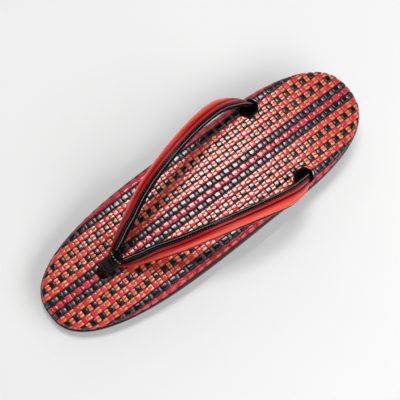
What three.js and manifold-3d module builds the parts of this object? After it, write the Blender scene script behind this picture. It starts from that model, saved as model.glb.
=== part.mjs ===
// A zori sandal: rubber outsole, vinyl-covered midsole, woven footbed and a padded V strap with its
// toe post. Millimetres. +X points to the toe, +Y to the wearer's left, +Z up. The origin lies on the
// ground under the middle of the sole.

import * as THREE from "three";
import { mergeVertices } from "three/addons/utils/BufferGeometryUtils.js";
import Module from "manifold-3d";

// Outline of the sole, seen from above.
const LENGTH = 240;
const BALL_HALF_WIDTH = 38.2;
const HEEL_HALF_WIDTH = 37.2;
const TOE_CURVE_LENGTH = 105;
const TOE_FULLNESS = 2.55;
const HEEL_CURVE_LENGTH = 82;
const HEEL_FULLNESS = 2.5;
const TOE_STEPS = 12;
const WAIST_STEPS = 5;
const HEEL_STEPS = 11;

// Side view of the sole.
const TOE_TOP = 18;
const HEEL_TOP = 34.5;
const RISE_CURVE = 0.45;
const TOE_SPRING = 4;
const TOE_SPRING_LENGTH = 38;
const ARCH_RISE = 1.6;
const ARCH_FRONT = 95;
const ARCH_LENGTH = 55;
const HEEL_ROLL = 1.2;
const HEEL_ROLL_LENGTH = 18;

// Layers of the sole.
const OUTSOLE_THICKNESS = 3.2;
const LAYER_GAP = 0.3;
const FOOTBED_DEPTH = 5;
const RIM_WIDTH = 1.2;
const LIP_HEIGHT = 2.6;
const SIDE_LEAN = 2.4;
const MIDSOLE_FOOT_STEP = 0.7;

// Woven footbed: lengthwise strips standing up from one wall.
const STRIP_COUNT = 17;
const STRIP_PITCH = 4.3;
const STRIP_HEIGHT = 0.7;
const STRIP_SINK = 0.65;
const STRIP_STATIONS = 14;
const FIT_GAP = 0.35;

// One row for each section across a strip: place across its pitch, share of its height.
const STRIP_PROFILE = [
  { across: 0, height: 0 },
  { across: 0.17, height: 0.82 },
  { across: 0.5, height: 1 },
  { across: 0.83, height: 0.82 },
];

// Edge of the footbed from its foot to its top: inset from the rim, rise over the top line.
const FOOTBED_EDGE = [
  { inset: 0, rise: -FOOTBED_DEPTH },
  { inset: 0, rise: -3 },
  { inset: 0.3, rise: -1.9 },
  { inset: 1.1, rise: -0.95 },
  { inset: 2.4, rise: -0.3 },
  { inset: 3.9, rise: 0.2 },
  { inset: 5.4, rise: 0.8 },
];

// Side of the midsole under its top line: inset from the outline, drop below the midsole's top.
const MIDSOLE_LIP = [
  { inset: 1.1, drop: LIP_HEIGHT + 0.4 },
  { inset: 0.25, drop: LIP_HEIGHT },
  { inset: 0, drop: LIP_HEIGHT / 2 },
  { inset: 0.25, drop: 0.5 },
  { inset: 0.8, drop: 0 },
];

// Edge of the outsole from the ground up: inset from the outline, share of its thickness.
const OUTSOLE_EDGE = [
  { inset: SIDE_LEAN + 1, share: 0 },
  { inset: SIDE_LEAN + 0.2, share: 0.25 },
  { inset: SIDE_LEAN, share: 0.6 },
  { inset: SIDE_LEAN + 0.3, share: 1 },
];

// The wearer's left strap arm from the front knot to the end of its tail. A row for each section: the
// place of its middle, its width and thickness, how far its face leans outward from straight up, and
// where the cover's inner seam lies around its oval, counted from its inner edge. Both angles are in
// degrees.
const STRAP_SECTIONS = [
  { x: 72.8, y: -1.4, z: 30.8, width: 4, thick: 3.6, lean: 40, seam: 66 },
  { x: 65, y: 4.3, z: 33.3, width: 5.8, thick: 4.6, lean: 52, seam: 72 },
  { x: 56, y: 8.8, z: 38.2, width: 9.9, thick: 6.2, lean: 49, seam: 58 },
  { x: 44, y: 14.1, z: 47.9, width: 12.7, thick: 6.7, lean: 47, seam: 46 },
  { x: 30, y: 20, z: 57, width: 13.2, thick: 6.8, lean: 52, seam: 40 },
  { x: 14, y: 24.9, z: 62.8, width: 12.6, thick: 6.8, lean: 53, seam: 38 },
  { x: -4, y: 29.6, z: 64.2, width: 11.8, thick: 6.8, lean: 48, seam: 38 },
  { x: -20, y: 33.1, z: 61.6, width: 11.6, thick: 6.8, lean: 40, seam: 38 },
  { x: -34, y: 35.1, z: 55.4, width: 11.8, thick: 6.8, lean: 35, seam: 38 },
  { x: -45, y: 34.8, z: 46, width: 11.6, thick: 6.6, lean: 37, seam: 38 },
  { x: -53, y: 32.6, z: 37.4, width: 10.6, thick: 6.2, lean: 50, seam: 38 },
  { x: -58, y: 29.4, z: 30.4, width: 9, thick: 5.8, lean: 72, seam: 38 },
  { x: -60, y: 27.2, z: 23.5, width: 8.2, thick: 5.4, lean: 88, seam: 38 },
  { x: -60.6, y: 26.6, z: 17, width: 7.2, thick: 5, lean: 90, seam: 38 },
];
const STEPS_PER_SECTION = 2;
const COVER_LAST_SECTION = 10.5;
const JOIN_OVERLAP = 0.05;

// The red cover lies between two seams on the band. The outer seam keeps one angle around the oval.
const OUTER_SEAM = 134;
const COVER_EDGE = 0.9;
const COVER_LIFT = 0.75;
const BAND_STEPS = 11;

// Face of the cover from the inner seam to the outer: place between the seams, share of the cover's lift.
// The dip is its lengthwise crease.
const COVER_FACE = [
  { place: 0, lift: 0 },
  { place: 0.11, lift: 0.65 },
  { place: 0.24, lift: 0.55 },
  { place: 0.33, lift: -0.35 },
  { place: 0.41, lift: 0.4 },
  { place: 0.56, lift: 0.9 },
  { place: 0.74, lift: 1 },
  { place: 0.9, lift: 0.65 },
  { place: 1, lift: 0 },
];

// The toe post from the end of its stem to the back of the knuckle around the straps.
const POST_SECTIONS = [
  { x: 77.2, z: 9, halfWidth: 3.8, halfThick: 2.8 },
  { x: 77.2, z: 16, halfWidth: 4.1, halfThick: 3.1 },
  { x: 77, z: 21, halfWidth: 4.4, halfThick: 3.6 },
  { x: 75.8, z: 26, halfWidth: 4.4, halfThick: 3.8 },
  { x: 73, z: 30.2, halfWidth: 4.6, halfThick: 4.1 },
  { x: 69.6, z: 33, halfWidth: 4.9, halfThick: 4.4 },
  { x: 66.6, z: 34.6, halfWidth: 5, halfThick: 4.5 },
  { x: 64.4, z: 35.5, halfWidth: 4.8, halfThick: 4.2 },
];
const POST_SIDES = 18;
const POST_STEPS = 18;

const BLACK_RUBBER = { color: 0x17171a, roughness: 0.8, metalness: 0 };
const BLACK_VINYL = { color: 0x101013, roughness: 0.3, metalness: 0 };
const WOVEN_VINYL = { color: 0xc8352f, roughness: 0.3, metalness: 0 };
const RED_VINYL = { color: 0xd92a22, roughness: 0.38, metalness: 0 };

const wasm = await Module();
wasm.setup();

const lerp = THREE.MathUtils.lerp;
const radians = THREE.MathUtils.degToRad;

// Height of the footbed's middle line over the ground.
function topLine(x) {
  const along = THREE.MathUtils.clamp(0.5 - x / LENGTH, 0, 1);
  const eased = along * along * (3 - 2 * along);
  return lerp(TOE_TOP, HEEL_TOP, lerp(along, eased, RISE_CURVE));
}

// Height of the outsole's underside: flat under forefoot and heel, raised at the toe, the arch and the
// heel's end.
function groundLine(x) {
  const fromToe = LENGTH / 2 - x;
  const toe = Math.max(0, 1 - fromToe / TOE_SPRING_LENGTH);
  const arch = THREE.MathUtils.clamp((fromToe - ARCH_FRONT) / ARCH_LENGTH, 0, 1);
  const heel = Math.max(0, 1 - (LENGTH - fromToe) / HEEL_ROLL_LENGTH);
  return TOE_SPRING * toe * toe + ARCH_RISE * Math.sin(Math.PI * arch) ** 2 + HEEL_ROLL * heel * heel;
}

// The left half of the sole's outline, from the tip of the toe to the end of the heel.
function halfOutline() {
  const ballX = LENGTH / 2 - TOE_CURVE_LENGTH;
  const seatX = HEEL_CURVE_LENGTH - LENGTH / 2;
  const points = [];
  for (let i = 0; i <= TOE_STEPS; i++) {
    const angle = (i / TOE_STEPS) * (Math.PI / 2);
    const along = Math.max(0, Math.cos(angle)) ** (2 / TOE_FULLNESS);
    const across = Math.sin(angle) ** (2 / TOE_FULLNESS);
    points.push(new THREE.Vector2(ballX + TOE_CURVE_LENGTH * along, BALL_HALF_WIDTH * across));
  }
  for (let i = 1; i < WAIST_STEPS; i++) {
    const share = i / WAIST_STEPS;
    const half = lerp(BALL_HALF_WIDTH, HEEL_HALF_WIDTH, THREE.MathUtils.smoothstep(share, 0, 1));
    points.push(new THREE.Vector2(lerp(ballX, seatX, share), half));
  }
  for (let i = HEEL_STEPS; i >= 0; i--) {
    const angle = (i / HEEL_STEPS) * (Math.PI / 2);
    const along = Math.max(0, Math.cos(angle)) ** (2 / HEEL_FULLNESS);
    const across = Math.sin(angle) ** (2 / HEEL_FULLNESS);
    points.push(new THREE.Vector2(seatX - HEEL_CURVE_LENGTH * along, HEEL_HALF_WIDTH * across));
  }
  return points;
}

const HALF_OUTLINE = halfOutline();
const HEEL_POINT = HALF_OUTLINE.length - 1;
const RING_SIZE = 2 * HEEL_POINT;

// The half outline moved inward by an even distance.
function insetHalf(inset) {
  return HALF_OUTLINE.map((point, i) => {
    if (i === 0 || i === HEEL_POINT) {
      return new THREE.Vector2(point.x - Math.sign(point.x) * inset, 0);
    }
    const along = HALF_OUTLINE[i + 1].clone().sub(HALF_OUTLINE[i - 1]).normalize();
    return new THREE.Vector2(point.x - along.y * inset, point.y + along.x * inset);
  });
}

function indexedGeometry(points, faces) {
  const geometry = new THREE.BufferGeometry();
  geometry.setFromPoints(points);
  geometry.setIndex(faces.flat());
  return geometry;
}

// Faces of the wall between neighbouring rings of points.
function wallFaces(ringCount, ringSize) {
  const faces = [];
  for (let k = 0; k + 1 < ringCount; k++) {
    for (let i = 0; i < ringSize; i++) {
      const a = k * ringSize + i;
      const b = k * ringSize + ((i + 1) % ringSize);
      faces.push([a, b, b + ringSize], [a, b + ringSize, a + ringSize]);
    }
  }
  return faces;
}

// A layer of the sole: rings of the outline stacked from bottom to top, each with its own inset and height.
function layerGeometry(levels) {
  const points = [];
  for (const level of levels) {
    const left = insetHalf(level.inset);
    const right = left.slice(1, HEEL_POINT).reverse().map((p) => new THREE.Vector2(p.x, -p.y));
    for (const p of [...left, ...right]) {
      points.push(new THREE.Vector3(p.x, p.y, level.height(p.x)));
    }
  }
  const faces = wallFaces(levels.length, RING_SIZE);
  const top = (levels.length - 1) * RING_SIZE;
  for (let i = 0; i < HEEL_POINT; i++) {
    const rightFront = (RING_SIZE - i) % RING_SIZE;
    const rightBack = RING_SIZE - i - 1;
    if (i < HEEL_POINT - 1) {
      faces.push([top + i, top + i + 1, top + rightBack], [i, rightBack, i + 1]);
    }
    if (i > 0) {
      faces.push([top + i, top + rightBack, top + rightFront], [i, rightFront, rightBack]);
    }
  }
  return indexedGeometry(points, faces);
}

// A solid along a row of flat sections, each with its place, two directions and closed outline.
function loftGeometry(stations) {
  const size = stations[0].outline.length;
  const points = [];
  for (const station of stations) {
    for (const p of station.outline) {
      points.push(
        station.middle.clone().addScaledVector(station.across, p.x).addScaledVector(station.outward, p.y),
      );
    }
  }
  const faces = wallFaces(stations.length, size);
  const end = (stations.length - 1) * size;
  for (const [a, b, c] of THREE.ShapeUtils.triangulateShape(stations[0].outline, [])) {
    faces.push([a, c, b]);
  }
  for (const [a, b, c] of THREE.ShapeUtils.triangulateShape(stations.at(-1).outline, [])) {
    faces.push([end + a, end + b, end + c]);
  }
  return indexedGeometry(points, faces);
}

// The same shape on the other side of the sandal's middle plane.
function mirroredGeometry(geometry) {
  const points = [];
  const place = geometry.getAttribute("position");
  for (let i = 0; i < place.count; i++) {
    points.push(new THREE.Vector3(place.getX(i), -place.getY(i), place.getZ(i)));
  }
  const corners = Array.from(geometry.getIndex().array);
  const faces = [];
  for (let i = 0; i < corners.length; i += 3) {
    faces.push([corners[i], corners[i + 2], corners[i + 1]]);
  }
  return indexedGeometry(points, faces);
}

function toSolid(geometry) {
  const vertProperties = Float32Array.from(geometry.getAttribute("position").array);
  const triVerts = Uint32Array.from(geometry.getIndex().array);
  return new wasm.Manifold(new wasm.Mesh({ numProp: 3, vertProperties, triVerts }));
}

function toGeometry(solid) {
  const mesh = solid.getMesh();
  const geometry = new THREE.BufferGeometry();
  geometry.setAttribute("position", new THREE.BufferAttribute(Float32Array.from(mesh.vertProperties), 3));
  geometry.setIndex(Array.from(mesh.triVerts));
  return geometry;
}

function outsoleGeometry() {
  const levels = OUTSOLE_EDGE.map(({ inset, share }) => ({
    inset,
    height: (x) => groundLine(x) + share * OUTSOLE_THICKNESS,
  }));
  return layerGeometry(levels);
}

function midsoleGeometry() {
  const top = (x) => topLine(x) - FOOTBED_DEPTH - LAYER_GAP;
  const footHeight = (x) => groundLine(x) + OUTSOLE_THICKNESS + LAYER_GAP;
  const foot = { inset: SIDE_LEAN + MIDSOLE_FOOT_STEP, height: footHeight };
  const lip = MIDSOLE_LIP.map(({ inset, drop }) => ({ inset, height: (x) => top(x) - drop }));
  return layerGeometry([foot, ...lip]);
}

function footbedEdgeGeometry() {
  const levels = FOOTBED_EDGE.map(({ inset, rise }) => ({
    inset: RIM_WIDTH + inset,
    height: (x) => topLine(x) + rise,
  }));
  return layerGeometry(levels);
}

// The footbed's upper side: strips along X, standing side by side across Y, above a deep block.
function stripBlockGeometry() {
  const half = (STRIP_COUNT * STRIP_PITCH) / 2;
  const outline = [new THREE.Vector2(half + STRIP_PITCH, -2 * FOOTBED_DEPTH)];
  outline.push(new THREE.Vector2(half + STRIP_PITCH, -STRIP_HEIGHT));
  for (let strip = STRIP_COUNT - 1; strip >= 0; strip--) {
    for (const { across, height } of STRIP_PROFILE) {
      const y = (strip + 1 - across) * STRIP_PITCH - half;
      outline.push(new THREE.Vector2(y, (height - STRIP_SINK) * STRIP_HEIGHT));
    }
  }
  outline.push(new THREE.Vector2(-half - STRIP_PITCH, -STRIP_HEIGHT));
  outline.push(new THREE.Vector2(-half - STRIP_PITCH, -2 * FOOTBED_DEPTH));
  const stations = [];
  for (let i = 0; i <= STRIP_STATIONS; i++) {
    const x = lerp(-LENGTH / 2 - 1, LENGTH / 2 + 1, i / STRIP_STATIONS);
    stations.push({
      middle: new THREE.Vector3(x, 0, topLine(x)),
      across: new THREE.Vector3(0, 1, 0),
      outward: new THREE.Vector3(0, 0, 1),
      outline,
    });
  }
  return loftGeometry(stations);
}

// A value of the strap's table between two rows.
function strapSize(column, row) {
  const before = Math.min(Math.floor(row), STRAP_SECTIONS.length - 2);
  return lerp(STRAP_SECTIONS[before][column], STRAP_SECTIONS[before + 1][column], row - before);
}

const STRAP_PATH = new THREE.CatmullRomCurve3(
  STRAP_SECTIONS.map(({ x, y, z }) => new THREE.Vector3(x, y, z)),
);

// Place and directions of the left arm's section. Across points to the arm's inner edge.
function strapStation(row) {
  const share = row / (STRAP_SECTIONS.length - 1);
  const along = STRAP_PATH.getTangent(share);
  const lean = radians(strapSize("lean", row));
  const outward = new THREE.Vector3(0, Math.sin(lean), Math.cos(lean));
  outward.addScaledVector(along, -outward.dot(along)).normalize();
  return {
    middle: STRAP_PATH.getPoint(share),
    across: outward.clone().cross(along),
    outward,
    halfWidth: strapSize("width", row) / 2,
    halfThick: strapSize("thick", row) / 2,
    innerSeam: strapSize("seam", row),
  };
}

function ovalPoint(station, angle) {
  return new THREE.Vector2(station.halfWidth * Math.cos(angle), station.halfThick * Math.sin(angle));
}

// Section of the cover: its creased face between the seams, and its flat underside.
function coverOutline(station) {
  const outline = COVER_FACE.map(({ place, lift }) => {
    const point = ovalPoint(station, radians(lerp(station.innerSeam, OUTER_SEAM, place)));
    point.y += lift * COVER_LIFT;
    return point;
  });
  const inner = outline[0];
  const outer = outline.at(-1);
  outline.push(new THREE.Vector2(outer.x, outer.y - COVER_EDGE));
  outline.push(new THREE.Vector2(inner.x, inner.y - COVER_EDGE));
  return outline;
}

// Section of the band: the oval under the cover, with a seat for the cover where there is one.
function bandOutline(station, covered) {
  const inner = ovalPoint(station, radians(station.innerSeam));
  const outer = ovalPoint(station, radians(OUTER_SEAM));
  const seat = covered ? COVER_EDGE + LAYER_GAP : 0;
  const crown = covered ? (inner.y + outer.y) / 2 - seat : station.halfThick;
  const start = Math.acos((outer.x - LAYER_GAP) / station.halfWidth);
  const end = 2 * Math.PI + Math.acos((inner.x + LAYER_GAP) / station.halfWidth);
  const outline = [];
  for (let i = 0; i <= BAND_STEPS; i++) {
    outline.push(ovalPoint(station, lerp(start, end, i / BAND_STEPS)));
  }
  outline.push(new THREE.Vector2(inner.x + LAYER_GAP, inner.y - seat));
  outline.push(new THREE.Vector2(0, crown));
  outline.push(new THREE.Vector2(outer.x - LAYER_GAP, outer.y - seat));
  return outline;
}

// Section of the room that band and cover take up together, with a fitting gap all round.
function roomOutline(station) {
  const outline = [];
  for (let i = 0; i < POST_SIDES; i++) {
    const angle = (i / POST_SIDES) * 2 * Math.PI;
    const lift = Math.sin(angle) > 0 ? COVER_LIFT * Math.sin(angle) : 0;
    const width = station.halfWidth + FIT_GAP;
    const thick = station.halfThick + FIT_GAP;
    outline.push(new THREE.Vector2(width * Math.cos(angle), thick * Math.sin(angle) + lift));
  }
  return outline;
}

// One arm from its front end to a row of the table, with its outline drawn at each station.
function armGeometry(lastRow, outlineAt) {
  const count = Math.round(lastRow * STEPS_PER_SECTION);
  const stations = [];
  for (let i = 0; i <= count; i++) {
    const row = i / STEPS_PER_SECTION;
    const station = strapStation(row);
    stations.push({ ...station, outline: outlineAt(station, row) });
  }
  return loftGeometry(stations);
}

// Both arms, each kept on its own side of the middle plane and joined there.
function joinedArms(arm) {
  const reach = LENGTH;
  const sideRoom = new THREE.BoxGeometry(reach, reach, reach);
  sideRoom.translate(0, reach / 2 - JOIN_OVERLAP, 0);
  const room = toSolid(weldedGeometry(sideRoom));
  const left = toSolid(arm).intersect(room);
  return left.add(toSolid(mirroredGeometry(toGeometry(left))));
}

function weldedGeometry(geometry) {
  geometry.deleteAttribute("normal");
  geometry.deleteAttribute("uv");
  return mergeVertices(geometry);
}

// A value of the post's table between two rows.
function postSize(column, row) {
  const before = Math.min(Math.floor(row), POST_SECTIONS.length - 2);
  return lerp(POST_SECTIONS[before][column], POST_SECTIONS[before + 1][column], row - before);
}

// The post's stem and knuckle as one tube, grown by a margin on every side.
function postGeometry(margin) {
  const path = new THREE.CatmullRomCurve3(POST_SECTIONS.map(({ x, z }) => new THREE.Vector3(x, 0, z)));
  const stations = [];
  for (let i = 0; i <= POST_STEPS; i++) {
    const share = i / POST_STEPS;
    const row = share * (POST_SECTIONS.length - 1);
    const along = path.getTangent(share);
    const middle = path.getPoint(share);
    if (i === 0) {
      middle.addScaledVector(along, -margin);
    }
    const across = new THREE.Vector3(0, -1, 0);
    const outline = [];
    for (let side = 0; side < POST_SIDES; side++) {
      const angle = (side / POST_SIDES) * 2 * Math.PI;
      outline.push(
        new THREE.Vector2(
          (postSize("halfWidth", row) + margin) * Math.cos(angle),
          (postSize("halfThick", row) + margin) * Math.sin(angle),
        ),
      );
    }
    stations.push({ middle, across, outward: along.clone().cross(across), outline });
  }
  return loftGeometry(stations);
}

const lastSection = STRAP_SECTIONS.length - 1;
const bandOutlineAt = (station, row) => bandOutline(station, row <= COVER_LAST_SECTION);
const bandSolid = joinedArms(armGeometry(lastSection, bandOutlineAt));
const coverSolid = joinedArms(armGeometry(COVER_LAST_SECTION, coverOutline));
const strapRoom = joinedArms(armGeometry(lastSection, roomOutline));
const postRoom = toSolid(postGeometry(FIT_GAP));
const postSolid = toSolid(postGeometry(0)).subtract(strapRoom);
const footbedWall = toSolid(footbedEdgeGeometry()).intersect(toSolid(stripBlockGeometry()));
const footbedSolid = footbedWall.subtract(strapRoom).subtract(postRoom);
const midsoleSolid = toSolid(midsoleGeometry()).subtract(strapRoom).subtract(postRoom);

const sandal = new THREE.Group();

function addPiece(name, geometry, finish) {
  const mesh = new THREE.Mesh(geometry, new THREE.MeshStandardMaterial(finish));
  mesh.name = name;
  sandal.add(mesh);
}

addPiece("outsole", outsoleGeometry(), BLACK_RUBBER);
addPiece("midsole", toGeometry(midsoleSolid), BLACK_VINYL);
addPiece("footbed", toGeometry(footbedSolid), WOVEN_VINYL);
addPiece("strap_band", toGeometry(bandSolid), BLACK_VINYL);
addPiece("strap_cover", toGeometry(coverSolid), RED_VINYL);
addPiece("toe_post", toGeometry(postSolid), BLACK_VINYL);

export default sandal;
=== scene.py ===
import math

import bpy
import numpy as np
from mathutils import Matrix, Quaternion, Vector


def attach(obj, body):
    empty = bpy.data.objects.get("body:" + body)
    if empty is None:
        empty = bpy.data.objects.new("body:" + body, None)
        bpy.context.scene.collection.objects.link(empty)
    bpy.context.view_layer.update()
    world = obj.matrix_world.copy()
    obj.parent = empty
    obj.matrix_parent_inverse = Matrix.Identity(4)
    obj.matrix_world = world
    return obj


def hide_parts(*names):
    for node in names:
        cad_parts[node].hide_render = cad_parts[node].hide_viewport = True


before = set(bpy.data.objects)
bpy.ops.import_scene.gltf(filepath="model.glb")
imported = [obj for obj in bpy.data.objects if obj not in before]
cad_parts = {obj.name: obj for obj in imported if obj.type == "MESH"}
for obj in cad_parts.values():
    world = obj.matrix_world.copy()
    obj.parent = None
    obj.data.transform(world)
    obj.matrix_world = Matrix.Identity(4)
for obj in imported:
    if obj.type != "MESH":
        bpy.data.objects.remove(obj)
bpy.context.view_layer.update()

# The looks of a zori sandal. Sizes are in millimetres: +X to the toe, +Y to the wearer's left, +Z up.
MM = 0.001
SEED = 11

# Sole, as in the solids.
LENGTH = 240.0
BALL_HALF_WIDTH = 38.2
HEEL_HALF_WIDTH = 37.2
TOE_CURVE_LENGTH = 105.0
TOE_FULLNESS = 2.55
HEEL_CURVE_LENGTH = 82.0
HEEL_FULLNESS = 2.5
TOE_TOP = 18.0
HEEL_TOP = 34.5
RISE_CURVE = 0.45
TOE_SPRING = 4.0
TOE_SPRING_LENGTH = 38.0
ARCH_RISE = 1.6
ARCH_FRONT = 95.0
ARCH_LENGTH = 55.0
HEEL_ROLL = 1.2
HEEL_ROLL_LENGTH = 18.0
OUTSOLE_THICKNESS = 3.2
LAYER_GAP = 0.3
FOOTBED_DEPTH = 5.0
RIM_WIDTH = 1.2
HALF_RING = 300
CURVE_SAMPLES = 2000
WAIST_SAMPLES = 400
EDGE_BATCH = 8000

# Edge of the outsole from the ground up: inset from the outline, share of its thickness.
OUTSOLE_EDGE = [
    (4.2, 0.0),
    (3.5, 0.03),
    (3.0, 0.12),
    (2.65, 0.27),
    (2.45, 0.45),
    (2.4, 0.62),
    (2.45, 0.8),
    (2.6, 0.93),
    (2.9, 1.0),
]
TREAD_PITCH = 5.2
TREAD_DEPTH = 0.55
TREAD_SLANT = 0.45
TREAD_MARGIN = 5.0
TREAD_COLUMNS = 72
TREAD_STEEPNESS = 2.4
TREAD_LAND = 0.35
TREAD_FADE = 2.0
PLAIN_COLUMNS = 2

# Side of the midsole, from its foot to its top: inset from the outline, share of the side's height.
MIDSOLE_SIDE = [
    (3.6, 0.0),
    (3.2, 0.015),
    (3.05, 0.05),
    (2.75, 0.2),
    (2.3, 0.42),
    (1.8, 0.64),
    (1.3, 0.82),
]
# Rolled lip of the midsole: inset from the outline, drop below the midsole's top.
MIDSOLE_LIP = [
    (1.15, 3.1),
    (0.75, 2.85),
    (0.38, 2.6),
    (0.12, 2.15),
    (0.0, 1.6),
    (0.0, 1.1),
    (0.12, 0.62),
    (0.4, 0.22),
    (0.85, 0.02),
    (1.6, 0.0),
]

# Weave of the footbed. In the chart a capital is a plain stripe and a small letter alternates with orange.
COLUMN_CHART = "RBrbrbrBRBrbrbrBR"
COLUMN_PITCH = 4.3
PICK_PERIOD = 6.825
FIRST_BLACK_PICK = 5.77
SPARE_PICKS = 2
SHOULDER = 2.8
EDGE_STEP = 0.15
EDGE_DROP = 4.7
EDGE_FADE = 1.2
GROUND_SINK = 0.75
GROUND_MARGIN = 3.0
GROUND_ROWS = 180
GROUND_COLUMNS = 64

# Raised cells of the weave: size, rise from their foot, and how far their tops fall along and across.
BEAD_LENGTH = 4.15
BEAD_WIDTH = 4.15
BEAD_RISE = 0.95
BEAD_SINK = 0.6
BEAD_EDGE = 0.86
BEAD_FALL_ALONG = 0.04
BEAD_FALL_ACROSS = 0.1
STRIPE_LENGTH = 4.6
# Low cells between the raised ones of a plain stripe.
STRIPE_FILL_LENGTH = 2.35
STRIPE_FILL_WIDTH = 3.2
STRIPE_FILL_RISE = 0.42
STRIPE_FILL_FALL = 0.3
# The columns at each side have longer raised cells, and wider ones between them.
SIDE_COLUMNS = 2
SIDE_BEAD_STRETCH = 1.14
SIDE_FILL_WIDENING = 1.28
# Orange cells, each two cords with a groove between them.
ORANGE_LENGTH = 2.75
ORANGE_WIDTH = 4.2
ORANGE_RISE = 0.5
ORANGE_FALL = 0.04
GROOVE_HALF_WIDTH = 0.14
GROOVE_SHARE = 0.25
# Narrower ends of the cells, and how much they differ in size, place, tilt and tone.
CELL_TAPER = 0.14
CELL_TAPER_POWER = 6
CELL_SIZE_SPREAD = 0.03
CELL_SLIDE = 0.12
CELL_TILT = 0.04
CELL_TONE_SPREAD = 0.6
CELL_COORDINATE_STEP = 3.0
# Lines of the cells' meshes, from one rim at -1 to the other at 1.
CRISP = (-1.0, -0.96, -0.92, -0.87, -0.6, 0.0, 0.6, 0.87, 0.92, 0.96, 1.0)
PLAIN = (-1.0, -0.93, -0.86, -0.4, 0.4, 0.86, 0.93, 1.0)
CORDS = (-1.0, -0.93, -0.86, -0.6, -0.35, -0.2, -0.1, 0.0, 0.1, 0.2, 0.35, 0.6, 0.86, 0.93, 1.0)
SHORT = (-1.0, -0.75, -0.3, 0.3, 0.75, 1.0)

# The hole of the toe post, where the weave is cut: middle, half length, half width.
POST_HOLE = (77.0, 0.0, 2.9, 3.7)
# The clearing in the weave about the post, in the same way, where the ground shows painted black as shade
# about the post's foot.
POST_CLEARING = (78.4, 0.0, 5.0, 4.9)
# The holes of the strap's tails, where the weave is pushed aside: middle, half length, half width.
HOLES = [
    (-58.6, 28.5, 5.5, 4.4),
    (-58.6, -28.5, 5.5, 4.4),
]
HOLE_CENTRE = 1e-6
HOLE_REACH = 1.5
HOLE_CUT = 0.85
GROUND_CUT = 0.45
HOLE_DEPTH = 4.4
HOLE_LAP = 1.0
HOLE_SIDES = 48
HOLE_FADE = 0.3

# The wearer's left strap arm from the front knot to the end of its tail, as in the solids: the place of the
# section's middle, its width and thickness, how far its face leans outward from straight up, and where the
# cover's inner seam lies around its oval, counted from its inner edge. Both angles are in degrees.
STRAP_SECTIONS = [
    (72.8, -1.4, 30.8, 4.0, 3.6, 40.0, 66.0),
    (65.0, 4.3, 33.3, 5.8, 4.6, 52.0, 72.0),
    (56.0, 8.8, 38.2, 9.9, 6.2, 49.0, 58.0),
    (44.0, 14.1, 47.9, 12.7, 6.7, 47.0, 46.0),
    (30.0, 20.0, 57.0, 13.2, 6.8, 52.0, 40.0),
    (14.0, 24.9, 62.8, 12.6, 6.8, 53.0, 38.0),
    (-4.0, 29.6, 64.2, 11.8, 6.8, 48.0, 38.0),
    (-20.0, 33.1, 61.6, 11.6, 6.8, 40.0, 38.0),
    (-34.0, 35.1, 55.4, 11.8, 6.8, 35.0, 38.0),
    (-45.0, 34.8, 46.0, 11.6, 6.6, 37.0, 38.0),
    (-53.0, 32.6, 37.4, 10.6, 6.2, 50.0, 38.0),
    (-58.0, 29.4, 30.4, 9.0, 5.8, 72.0, 38.0),
    (-60.0, 27.2, 23.5, 8.2, 5.4, 88.0, 38.0),
    (-60.6, 26.6, 17.0, 7.2, 5.0, 90.0, 38.0),
]
# How the curves through a table's rows are spaced: by the rows' distances, or evenly.
BY_DISTANCE = 0.25
EVENLY = 0.0
TANGENT_STEP = 0.02
MIDDLE_GAP = 0.02
ROWS_PER_SECTION = 12
BAND_SIDES = 72
COVER_LAST_SECTION = 10.5
COVER_COLUMNS = 44
COVER_EDGE = 0.9
SEAT_DEPTH = 0.55
SEAT_MARGIN = 2.0
SEAT_SLOPE = 8.0
SEAT_END = 0.08
COVER_END = 0.16
COVER_END_SHARE = 0.1
COVER_END_SINK = 0.5
COVER_UNDER_STEP = 4
COVER_COORDINATE_LENGTH = 10.0

# The cover's outer seam around the oval, in degrees at the front and at the back, and the rows of the
# strap's table between which it changes.
OUTER_SEAM_FRONT = 119.0
OUTER_SEAM_BACK = 136.0
OUTER_SEAM_ROWS = (5.5, 8.5)

# Face of the cover from the inner seam to the outer: place between the seams, lift.
COVER_FACE = [
    (0.0, -0.35),
    (0.02, 0.05),
    (0.05, 0.42),
    (0.1, 0.66),
    (0.16, 0.7),
    (0.23, 0.58),
    (0.31, 0.55),
    (0.45, 0.85),
    (0.6, 1.0),
    (0.75, 0.95),
    (0.86, 0.7),
    (0.94, 0.35),
    (0.98, 0.0),
    (1.0, -0.35),
]
# How dark the cover's red is painted across its face, as shade, and as a highlight where lowest: place
# between the seams, shade.
COVER_SHADE_AND_HIGHLIGHT = [
    (0.0, 0.6),
    (0.08, 0.38),
    (0.16, 0.32),
    (0.25, 0.4),
    (0.34, 0.36),
    (0.45, 0.2),
    (0.58, 0.02),
    (0.76, 0.0),
    (0.9, 0.25),
    (1.0, 0.7),
]
# The red deepens toward the knot: added shade there, and the row of the strap's table where it ends.
FRONT_SHADE = 0.24
FRONT_SHADE_ROWS = 4.5
# Lengthwise creases of the cover: first and last row of the strap's table, place between the seams at
# each, depth and half width.
CREASES = [
    (0.0, 10.5, 0.25, 0.28, 1.15, 0.05),
    (0.5, 4.4, 0.66, 0.8, 0.35, 0.05),
    (8.0, 10.5, 0.7, 0.58, 0.5, 0.05),
    (8.8, 10.5, 0.86, 0.78, 0.4, 0.04),
    (9.1, 10.5, 0.14, 0.2, 0.35, 0.04),
]
# Share of each crease's depth painted into the cover's red as shade.
CREASE_SHADE = 0.5
CREASE_LEAD = 0.4
CREASE_TRAIL = 0.9
CREASE_FADE = 0.8

# Stitches along the band's inner side: angle around its section, length, pitch, half width, height.
STITCH_LINES = [(10.0, 0.85, 0.95, 0.3, 0.3), (32.0, 0.8, 1.6, 0.12, 0.16)]
STITCH_FIRST_ROW = 1.2
STITCH_LAST_ROW = 11.0
STITCH_SAMPLES = 1200
STITCH_FULLNESS = 2.5
STITCH_SINK = 0.06

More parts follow.
